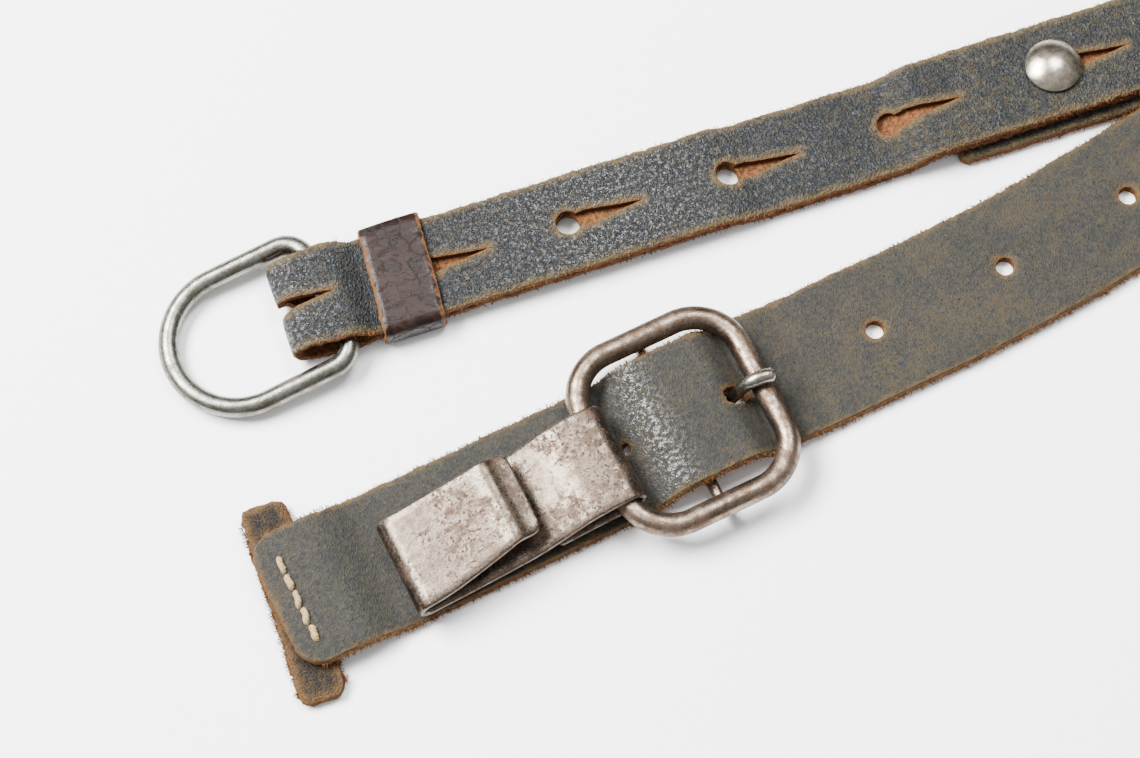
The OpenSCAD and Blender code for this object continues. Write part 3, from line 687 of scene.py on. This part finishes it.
def keyhole(s, way, u=0.0, d=5.0, length=16.7):
    """A round hole with a slit that runs to a tip, towards +s or -s."""
    half = d / 2
    pts = [(half * math.cos(a), half * math.sin(a)) for a in np.linspace(0.62, 2 * math.pi - 0.62, 16)]
    low = [(length * f, -half * (1 - f) * (0.92 - 0.30 * f) - 0.06) for f in (0.26, 0.42, 0.6, 0.8)]
    outline = pts + low + [(length, -0.03), (length, 0.03)] + [(x, -y) for x, y in low[::-1]]
    return [(s + way * x, u + way * y) for x, y in outline]


# ---- Front strap

def front_underside():
    left_bar, right_bar = HOOK_AT[0] - TAIL, 2 * BUCKLE - (HOOK_AT[0] - TAIL)
    return ([(0, STOP_T)] + ramp(13, STOP_T, 24, 0) + ramp(left_bar + 4.3, 0, BUCKLE - 3.5, 5.1)
            + ramp(BUCKLE + 9, 5.1, right_bar - 2.2, 1.2) + ramp(right_bar + 3, 1.2, right_bar + 11, 0)
            + [(STRAIGHT, 0)])


def ring_loop_points(thick, wire_r, dev, tail, reach):
    """Middle line of an end that comes from reach, goes over a ring wire at x = 0 and back under it."""
    ri = wire_r + 0.3
    zc = thick + ri
    over = ramp(wire_r, zc + ri, 14, thick)
    down = ramp(tail - 1, thick, tail + 12, 0)
    top = over + (down + [(reach, 0)] if reach else [(tail, thick)])
    pts = [(x, z + thick / 2) for x, z in top][::-1]
    pts += [(-dev, zc + ri + thick / 2)] + arc(-dev, zc, ri + thick / 2, 90, 270, 14)[1:]
    return pts + [(tail, thick / 2)]


def front_half(s):
    f = float(smooth((s - (S_BEND2 - TAPER)) / TAPER))
    return (STRAP_W + (LOOP_W + 0.4 - STRAP_W) * f) / 2


strap_end = S_BEND2 + REACH
loop_pts = ring_loop_points(STRAP_T, 2.5, 2.1, 26, REACH)
front_mid = [(x, z + STRAP_T / 2) for x, z in front_underside()]
front_mid += [(strap_end - x, z) for x, z in loop_pts]
# A station's s and x differ a little where the strap arches, so holes are placed by x
front_line = Bend(front_mid, STRAP_T, front_plan)


def front_s(x):
    arched = front_line.s[front_line.mid[:, 0] < strap_end - 1]
    return float(np.interp(x, front_line.mid[:len(arched), 0], arched))


RIGHT_BAR = 2 * BUCKLE - (HOOK_AT[0] - TAIL)
front_holes = [circle(front_s(BUCKLE + 15 - 31.5 + 4.3), -0.6, 2.6)]
front_holes += [circle(front_s(RIGHT_BAR - 3.5 + 31.5 * i), 0.0, 4.0) for i in range(1, 6)]
slot_a, slot_b = front_s(RIGHT_BAR - 8.4), front_s(RIGHT_BAR - 3.2)
front_holes.append([(slot_a, -2.0), (slot_a + 1.2, -2.9), (slot_b - 1.2, -3.1), (slot_b, -2.2), (slot_b, 0.2),
                    (slot_b - 1.2, 1.1), (slot_a + 1.2, 1.2), (slot_a, 0.4)])

front = strip("left_front_strap_leather", front_mid, front_half, STRAP_T, front_plan, "worn", front_holes,
              fine=(0, 232), step=3.0, fine_step=0.8, columns=22, corners=(6.0, 2.0), fibres=5200,
              fibre_len=0.95, seed=3, wavy=0.14,
              polish=lambda s: math.exp(-((s - front_s(BUCKLE - 6.0)) / 4.5) ** 2),
              dry=lambda s: 0.35 * math.exp(-(s / 14) ** 2) + float(smooth((s - 84) / 50)))
both_sides(front, "front", "front_strap", "worn")

# ---- End stop and its stitches

stop_at = centre("left_end_stop")
STOP_LEN = 44.0


def stop_plan(x, u):
    a = math.radians(-7)
    return (stop_at[0] + u * math.cos(a) - x * math.sin(a), stop_at[1] + u * math.sin(a) + x * math.cos(a))


stop_mid = [(x, 1.5 - 0.30 * (abs(x) / 22) ** 3) for x in np.linspace(-STOP_LEN / 2, STOP_LEN / 2, 23)]
stop = strip("left_end_stop_leather", stop_mid, lambda s: 4.8 + 0.5 * (abs(s - 22) / 22) ** 4, STOP_T - 0.05, stop_plan, "stop", fine=(0, 50),
             fine_step=0.6, columns=9, corners=(3.4, 3.0), fibres=900, fibre_len=1.2, seed=5, ragged=0.5,
             wavy=0.2)
both_sides(stop, "front", "end_stop", "stop")

stitches = []
for i in range(5):
    y = (i - 2) * 4 - 0.6
    rng = random.Random(40 + i)
    length = 1.75 + rng.uniform(-0.25, 0.2)
    lean = math.radians(-6 + rng.uniform(-7, 7))
    top = STOP_T + STRAP_T
    path = []
    for f in np.linspace(-1, 1, 9):
        across = f * length
        path.append((TAIL + 4.9 - across * math.sin(lean) + 0.12 * math.sin(f * 4 + i),
                     LANE + y + across * math.cos(lean), top + 0.52 * (1 - f ** 4) - 0.35 * f ** 4 - 0.1))
    radii = [0.70 * (1 - 0.35 * f ** 6) * (1 + rng.uniform(-0.10, 0.12)) for f in np.linspace(-1, 1, 9)]
    stitches.append(tube(f"stitch_{i}", path, radii, "thread", sides=12, seed=i, bumpy=0.18))
both_sides(joined("left_stitch_thread", *stitches), "front", "stop_stitches", "thread")

# ---- Prong and hook

prong_eye = joint_place("left_prong_lift")
TOP_Z = HOOK_AT[2] + 2.5 + 1.6 + 0.15
TURN = math.radians(-8)
half_len = RIGHT_BAR - BUCKLE
line = [(1.6, 2.65), (half_len - 8.2, 2.75), (half_len - 6.4, 3.5), (half_len - 5.1, 6.4),
        (half_len - 4.1, 9.3), (half_len - 2.6, 11.1), (half_len - 0.6, 11.65), (half_len + 0.9, 11.6),
        (half_len + 1.9, 11.3), (half_len + 2.5, 10.9)]
steps = np.linspace(0, len(line) - 1, 40)
line = np.array([[np.interp(s, range(len(line)), [p[k] for p in line]) for k in (0, 1)] for s in steps])
for _ in range(4):
    line[1:-1] = (line[:-2] + 2 * line[1:-1] + line[2:]) / 4
prong_path = [(prong_eye[0] + x * math.cos(TURN), prong_eye[1] + x * math.sin(TURN), z) for x, z in line]
prong_r = [1.22 + 0.46 * float(smooth(f)) for f in np.linspace(0, 1, 34)] + [1.7, 1.66, 1.55, 1.33, 0.95, 0.4]
stem = tube("stem", prong_path, prong_r, "prong", sides=16, bumpy=0.05, flatten=0.95)
eye = tube("eye", [(prong_eye[0] + 1.77 * math.cos(a), prong_eye[1], prong_eye[2] + 1.77 * math.sin(a))
                   for a in np.linspace(0, 2 * math.pi, 24, endpoint=False)], 0.36, "prong", sides=10,
           closed=True)
for v in eye.data.vertices:
    v.co.y = prong_eye[1] * MM + (v.co.y - prong_eye[1] * MM) * 6.4
both_sides(joined("left_prong_steel", stem, eye), "prong", "buckle_prong", "prong")

HOOK_T = 1.5
EYE = 2.5 + 0.3 + HOOK_T / 2


def hook_line():
    """Middle line of the bent strip, from the short leg under the bar, over it and round the nose."""
    pts = [(-16.0, -EYE), (-8.0, -EYE)] + arc(0, 0, EYE, -90, 78, 22)
    pts += [(-1.6, EYE - 0.03), (-3.4, EYE - 0.18)] + ramp(-5.2, EYE - 0.42, -24, -2.75, 16)
    pts += [(-28, -3.1), (-32, -3.3), (-40, -3.5)] + arc(-45.15, -0.95, 2.6, -90, -270, 20)
    pts += [(-40, 2.35), (-33, 3.25), (-28, 3.80), (-26.0, 4.15), (-25.1, 4.62), (-24.4, 4.86), (-23.6, 4.80),
            (-22.9, 4.42), (-22.1, 3.95), (-20.6, 3.55), (-18.5, 3.2)]
    return pts


def hook_plan(place, way):
    def plan(x, u):
        f = np.clip((-x - 3) / 45.5, 0, 1)
        v = u * (1 - f * 0.5 / 11) - 2.2 * f
        return place[0] + way * x, place[1] + way * v
    return plan


def hook(name, at, way, seed):
    pts = [(x, z + at[2]) for x, z in hook_line()]
    length = Bend(pts, HOOK_T, None).length

    def near_tip(s):
        return float(smooth(1 - (length - s) / 27))
    return strip(name, pts, lambda s: 11.0 - 1.5 * near_tip(s), HOOK_T, hook_plan(at, way), "hook",
                 fine=(0, 200), fine_step=0.9, columns=14, corners=(0.8, 2.2), soft=0.5, ragged=0, wavy=0.12,
                 seed=seed, sharp=50, lean=lambda s: 1.5 * near_tip(s))


both_sides(hook("left_hook_steel", HOOK_AT, 1, 8), "hook", "front_hook", "hook")
place(hook("rear_hook_steel", REAR_HOOK_AT, -1, 9), "rear_hook", "rear_hook", "hook")

# ---- Slotted straps


def slotted_mid(length, slack, top_end, bottom_end):
    """Middle line of a folded strap: along its lower layer, round the fold and back over the top."""
    flat = -(length - 16.3 - 6.7 - 60 - 3)
    lower = ([(bottom_end, AUX_RAISE)] + ramp(-29.5, AUX_RAISE, -38, 0) + ramp(flat + 10, 0, flat, AUX_LIFT)
             + ramp(-length + 8.6, AUX_LIFT, -length + 3, 0))
    upper = (ramp(-length + 1.7, FOLD_Z + FOLD_R, -length + 9.4, AUX_LIFT + LAYER)
             + ramp(flat, AUX_LIFT + LAYER, flat + 10, LAYER)
             + ramp(-38, LAYER, -29.5, AUX_RAISE + LAYER) + [(top_end, AUX_RAISE + LAYER)])
    half = AUX_T / 2
    pts = [(x, z + half) for x, z in lower]
    pts += arc(-length - slack, FOLD_Z, FOLD_R + half, -90, -270, 18)
    return pts + [(x, z + half) for x, z in upper], len(lower)


def slotted_strap(name, length, slack, top_end, bottom_end, plan, top, bottom, fold_slots, seed, fibres):
    mid, turn = slotted_mid(length, slack, top_end, bottom_end)
    line = Bend(mid, AUX_T, plan)
    low_x, low_s = line.mid[:turn, 0][::-1], line.s[:turn][::-1]
    high_x, high_s = line.mid[turn + 19:, 0], line.s[turn + 19:]

    def upper(x):
        return float(np.interp(x, high_x, high_s)) if x > high_x[0] else float(high_s[0] - (high_x[0] - x))

    stretch = [0.4, -1.1, -1.8, -1.6, 0.0, 2.1]
    cuts = [keyhole(upper(stretch[i] - PITCH * i), 1, d=5.4) for i in top + fold_slots]
    cuts += [keyhole(float(np.interp(stretch[i] - PITCH * i, low_x, low_s)), 1) for i in bottom]
    fold_s = (line.s[turn - 1] + line.s[turn + 19]) / 2

    def gloss(s):
        return math.exp(-((s - upper(-0.62 * length)) / 34) ** 2) + math.exp(-((s - fold_s) / 14) ** 2)
    return strip(name, mid, lambda s: AUX_W / 2 - 0.85 * math.exp(-((s - fold_s) / 10) ** 2), AUX_T, plan,
                 "aux", cuts, fine=(0, line.length), fine_step=0.9, columns=18, corners=(1.5, 1.5),
                 fibres=fibres, fibre_len=lambda s: 0.75 - 0.7 * math.exp(-((s - fold_s) / 13) ** 4), seed=seed,
                 ragged=0.24, wavy=0.05, polish=gloss,
                 dry=lambda s: float(smooth((s - upper(-0.5 * length)) / 60)))


aux_length = float(np.hypot(*(STUD - (RING_BAR[:2] - (0, 0.6)))))
aux = slotted_strap("left_aux_strap_leather", aux_length, 11 * math.tan(AUX_ANGLE) + 4.6, 34, 24, aux_plan,
                    [0, 1, 2, 3, 4], [0, 2, 3], [5], 11, 3600)
both_sides(aux, "aux", "aux_strap", "aux")

rear_length = REAR_BAR[0] - REAR_STUD[0]
rear = slotted_strap("rear_strap_leather", rear_length, 0.5, 24, 20, rear_plan, [0, 1, 2, 3, 4],
                     [0, 2, 3, 4], [], 12, 2400)
place(rear, "rear_strap", "rear_strap", "aux")


# ---- Keepers

def keeper(name, at_x, plan, seed):
    """A leather band round both layers of a strap."""
    wide, high, wall, r = 22.8, 4.3, 1.4, 1.3
    mid_w, mid_h = wide / 2 + wall / 2, high / 2 + wall / 2
    zc = 0.05 + wall + high / 2
    pts = []
    for cx, cz, a in ((-1, -1, 270), (-1, 1, 180), (1, 1, 90), (1, -1, 0)):
        pts += arc(cx * (mid_w - r), zc + cz * (mid_h - r), r, a, a - 90, 7)
        ahead = {270: (-1, 1), 180: (1, 1), 90: (1, -1), 0: (-1, -1)}[a]
        here = np.array(pts[-1])
        there = np.array({270: (-mid_w, zc + mid_h - r), 180: (mid_w - r, zc + mid_h),
                          90: (mid_w, zc - mid_h + r), 0: (-mid_w + r, zc - mid_h)}[a])
        count = int(np.linalg.norm(there - here) / 1.2)
        pts += [tuple(here + (there - here) * (i + 1) / (count + 1)) for i in range(count)]

    def band(a, u):
        return plan(at_x + u + 0.07 * a, a)
    return strip(name, pts, lambda s: 6.7, wall, band, "keeper", step=0.9, columns=12, soft=0.4, ragged=0.22,
                 wavy=0.16, fibres=0, seed=seed, closed=True, fine=(0, 90), fine_step=0.9)


both_sides(keeper("left_keeper_leather", 16.3 - aux_length, aux_plan, 21), "keeper", "aux_keeper", "keeper")
place(keeper("rear_keeper_leather", 16.3 - rear_length, rear_plan, 22), "rear_keeper", "rear_keeper",
      "keeper")

# ---- Anchors, chapes

anchor_plan = turned(STUD, -AUX_ANGLE, -2.2)
anchor_mid = ([(-25.3, 0)] + ramp(35, 0, 44, STRAP_T + 0.05) + [(134, STRAP_T + 0.05)])
anchor_mid = [(x, z + STRAP_T / 2) for x, z in anchor_mid]
anchor = strip("left_anchor_leather", anchor_mid, lambda s: 11.0, STRAP_T, anchor_plan, "aux", fine=(0, 60),
               columns=16, corners=(2.0, 4.0), fibres=700, seed=31)
both_sides(anchor, "front", "aux_anchor", "aux")

rear_loop_mid = ring_loop_points(STRAP_T, 2.5, 2.5, 26, REAR_STUD[0] + 25.3 - BACK_R)
rear_anchor = strip("rear_anchor_leather", rear_loop_mid[::-1], lambda s: 11.0, STRAP_T,
                    lambda x, u: (BACK_R + x, 0 * x - u), "aux", columns=16, corners=(2.0, 2.0), seed=32,
                    step=1.2)
place(rear_anchor, "rear_anchor", "rear_anchor", "aux")

chape_plan = turned(SHOULDER[:2], BEND1)
chape_mid = [(x, z + STRAP_T) for x, z in ring_loop_points(1.8, 1.75, 0.0, 24, 0)]
chape = strip("left_chape_leather", chape_mid[::-1], lambda s: 9.0, 1.8, chape_plan, "aux", columns=12,
              corners=(1.5, 1.5), seed=33, step=1.2)
both_sides(chape, "front", "ring_chape", "aux")

# ---- CAD metal that stays, with a finished surface

CAD_FINISH = {"buckle_frame": "buckle", "aux_ring": "ring", "shoulder_ring": "ring", "aux_stud": "nickel",
              "anchor_rivets": "buckle", "chape_rivets": "buckle", "loop_rivets": "buckle"}
for node, finish in CAD_FINISH.items():
    for hand in ("left_", "right_"):
        obj = frame["nodes"][hand + node]
        obj.data.materials.clear()
        obj.data.materials.append(MATERIALS[finish])
for node, finish in (("back_ring", "ring"), ("rear_loop", "ring"), ("rear_stud", "nickel"),
                     ("rear_rivets", "buckle")):
    obj = frame["nodes"][node]
    obj.data.materials.clear()
    obj.data.materials.append(MATERIALS[finish])

# ---- Floor, light and camera

bpy.ops.mesh.primitive_plane_add(size=8, location=(0, 0, -0.0002))
floor = bpy.context.object
floor.name = "floor"
floor.data.materials.append(floor_material())

target = Vector(((TAIL + 76.7) * MM, (LANE + 19.4) * MM, 0))


def area_light(name, offset, size, energy, color=(1, 1, 1)):
    data = bpy.data.lights.new(name, "AREA")
    data.shape = "RECTANGLE"
    data.size, data.size_y = size
    data.energy = energy
    data.color = color
    light = bpy.data.objects.new(name, data)
    bpy.context.scene.collection.objects.link(light)
    light.location = target + Vector(offset)
    light.rotation_euler = Vector(offset).to_track_quat("Z", "Y").to_euler()


area_light("key", (-0.50, 0.55, 1.00), (0.8, 0.5), 88)
area_light("fill", (0.45, 0.30, 1.25), (0.45, 0.45), 22)

world = bpy.data.worlds.new("studio")
bpy.context.scene.world = world
world.use_nodes = True
tree = world.node_tree
background = tree.nodes["Background"]
direction = tree.nodes.new("ShaderNodeTexCoord")
height = tree.nodes.new("ShaderNodeSeparateXYZ")
sky = tree.nodes.new("ShaderNodeMapRange")
sky.interpolation_type = "SMOOTHSTEP"
sky.inputs["From Min"].default_value = 0.15
sky.inputs["From Max"].default_value = 0.95
sky.inputs["To Min"].default_value = 0.18
sky.inputs["To Max"].default_value = 1.0
tree.links.new(direction.outputs["Generated"], height.inputs[0])
tree.links.new(height.outputs["Z"], sky.inputs["Value"])
tree.links.new(sky.outputs[0], background.inputs["Strength"])
background.inputs["Color"].default_value = (1, 1, 1, 1)

azimuth, elevation = math.radians(-26.36), math.radians(70)
back = Vector((math.sin(azimuth) * math.cos(elevation), -math.cos(azimuth) * math.cos(elevation),
               math.sin(elevation)))
camera_data = bpy.data.cameras.new("camera")
camera_data.lens = 107
camera_data.sensor_width = 36
camera = bpy.data.objects.new("camera", camera_data)
bpy.context.scene.collection.objects.link(camera)
camera.location = target + back * 0.7119
camera.rotation_euler = back.to_track_quat("Z", "Y").to_euler()
bpy.context.scene.camera = camera
